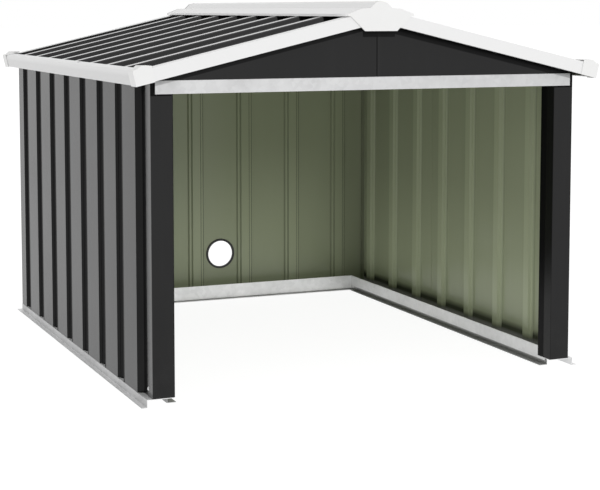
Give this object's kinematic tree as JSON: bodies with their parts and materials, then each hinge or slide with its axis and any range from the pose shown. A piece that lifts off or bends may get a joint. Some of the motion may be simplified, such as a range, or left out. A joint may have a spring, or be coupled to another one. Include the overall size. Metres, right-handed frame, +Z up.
{
  "type": "robot mower garage",
  "caption": "Small open-fronted steel garage with a gable roof, ribbed walls, folded base rails, white trims and a cable hole, as shelter for a robot mower.",
  "frame": {"origin": "on the ground under the middle of the garage", "axes": "+Z up, the open front faces -Y, +X to the right seen from the front"},
  "size_m": [0.9948, 1.119, 0.7613],
  "materials": {
    "dark_sheet": "satin, pressed into ribs, sage green on the inside",
    "galvanised_steel": "galvanised, dull with soft clouds",
    "white_trim": "satin",
    "white_plastic": "moulded, satin",
    "rubber_grommet": "matt"
  },
  "bodies": {
    "root": {"rail_left": "galvanised_steel", "rail_right": "galvanised_steel", "rail_rear": "galvanised_steel", "rail_bracket_left": "galvanised_steel", "rail_bracket_right": "galvanised_steel", "side_wall_left_front": "dark_sheet", "side_wall_left_rear": "dark_sheet", "side_wall_right_front": "dark_sheet", "side_wall_right_rear": "dark_sheet", "rear_wall_left": "dark_sheet", "rear_wall_right": "dark_sheet", "cable_grommet": "rubber_grommet", "front_post_left": "dark_sheet", "front_post_right": "dark_sheet", "header": "galvanised_steel", "top_rail_left": "galvanised_steel", "top_rail_right": "galvanised_steel", "top_rail_rear": "galvanised_steel", "gable_front_left": "dark_sheet", "gable_front_right": "dark_sheet", "gable_rear_left": "dark_sheet", "gable_rear_right": "dark_sheet", "roof_left_front": "dark_sheet", "roof_left_rear": "dark_sheet", "roof_right_front": "dark_sheet", "roof_right_rear": "dark_sheet", "ridge_cap": "white_trim", "ridge_end_front": "white_plastic", "ridge_end_rear": "white_plastic", "eave_trim_left": "white_trim", "eave_trim_right": "white_trim", "rake_trim_front_left": "white_trim", "rake_trim_front_right": "white_trim", "rake_trim_rear_left": "white_trim", "rake_trim_rear_right": "white_trim", "corner_cap_front_left": "white_plastic", "corner_cap_front_right": "white_plastic", "corner_cap_rear_left": "white_plastic", "corner_cap_rear_right": "white_plastic"}
  },
  "joints": []
}
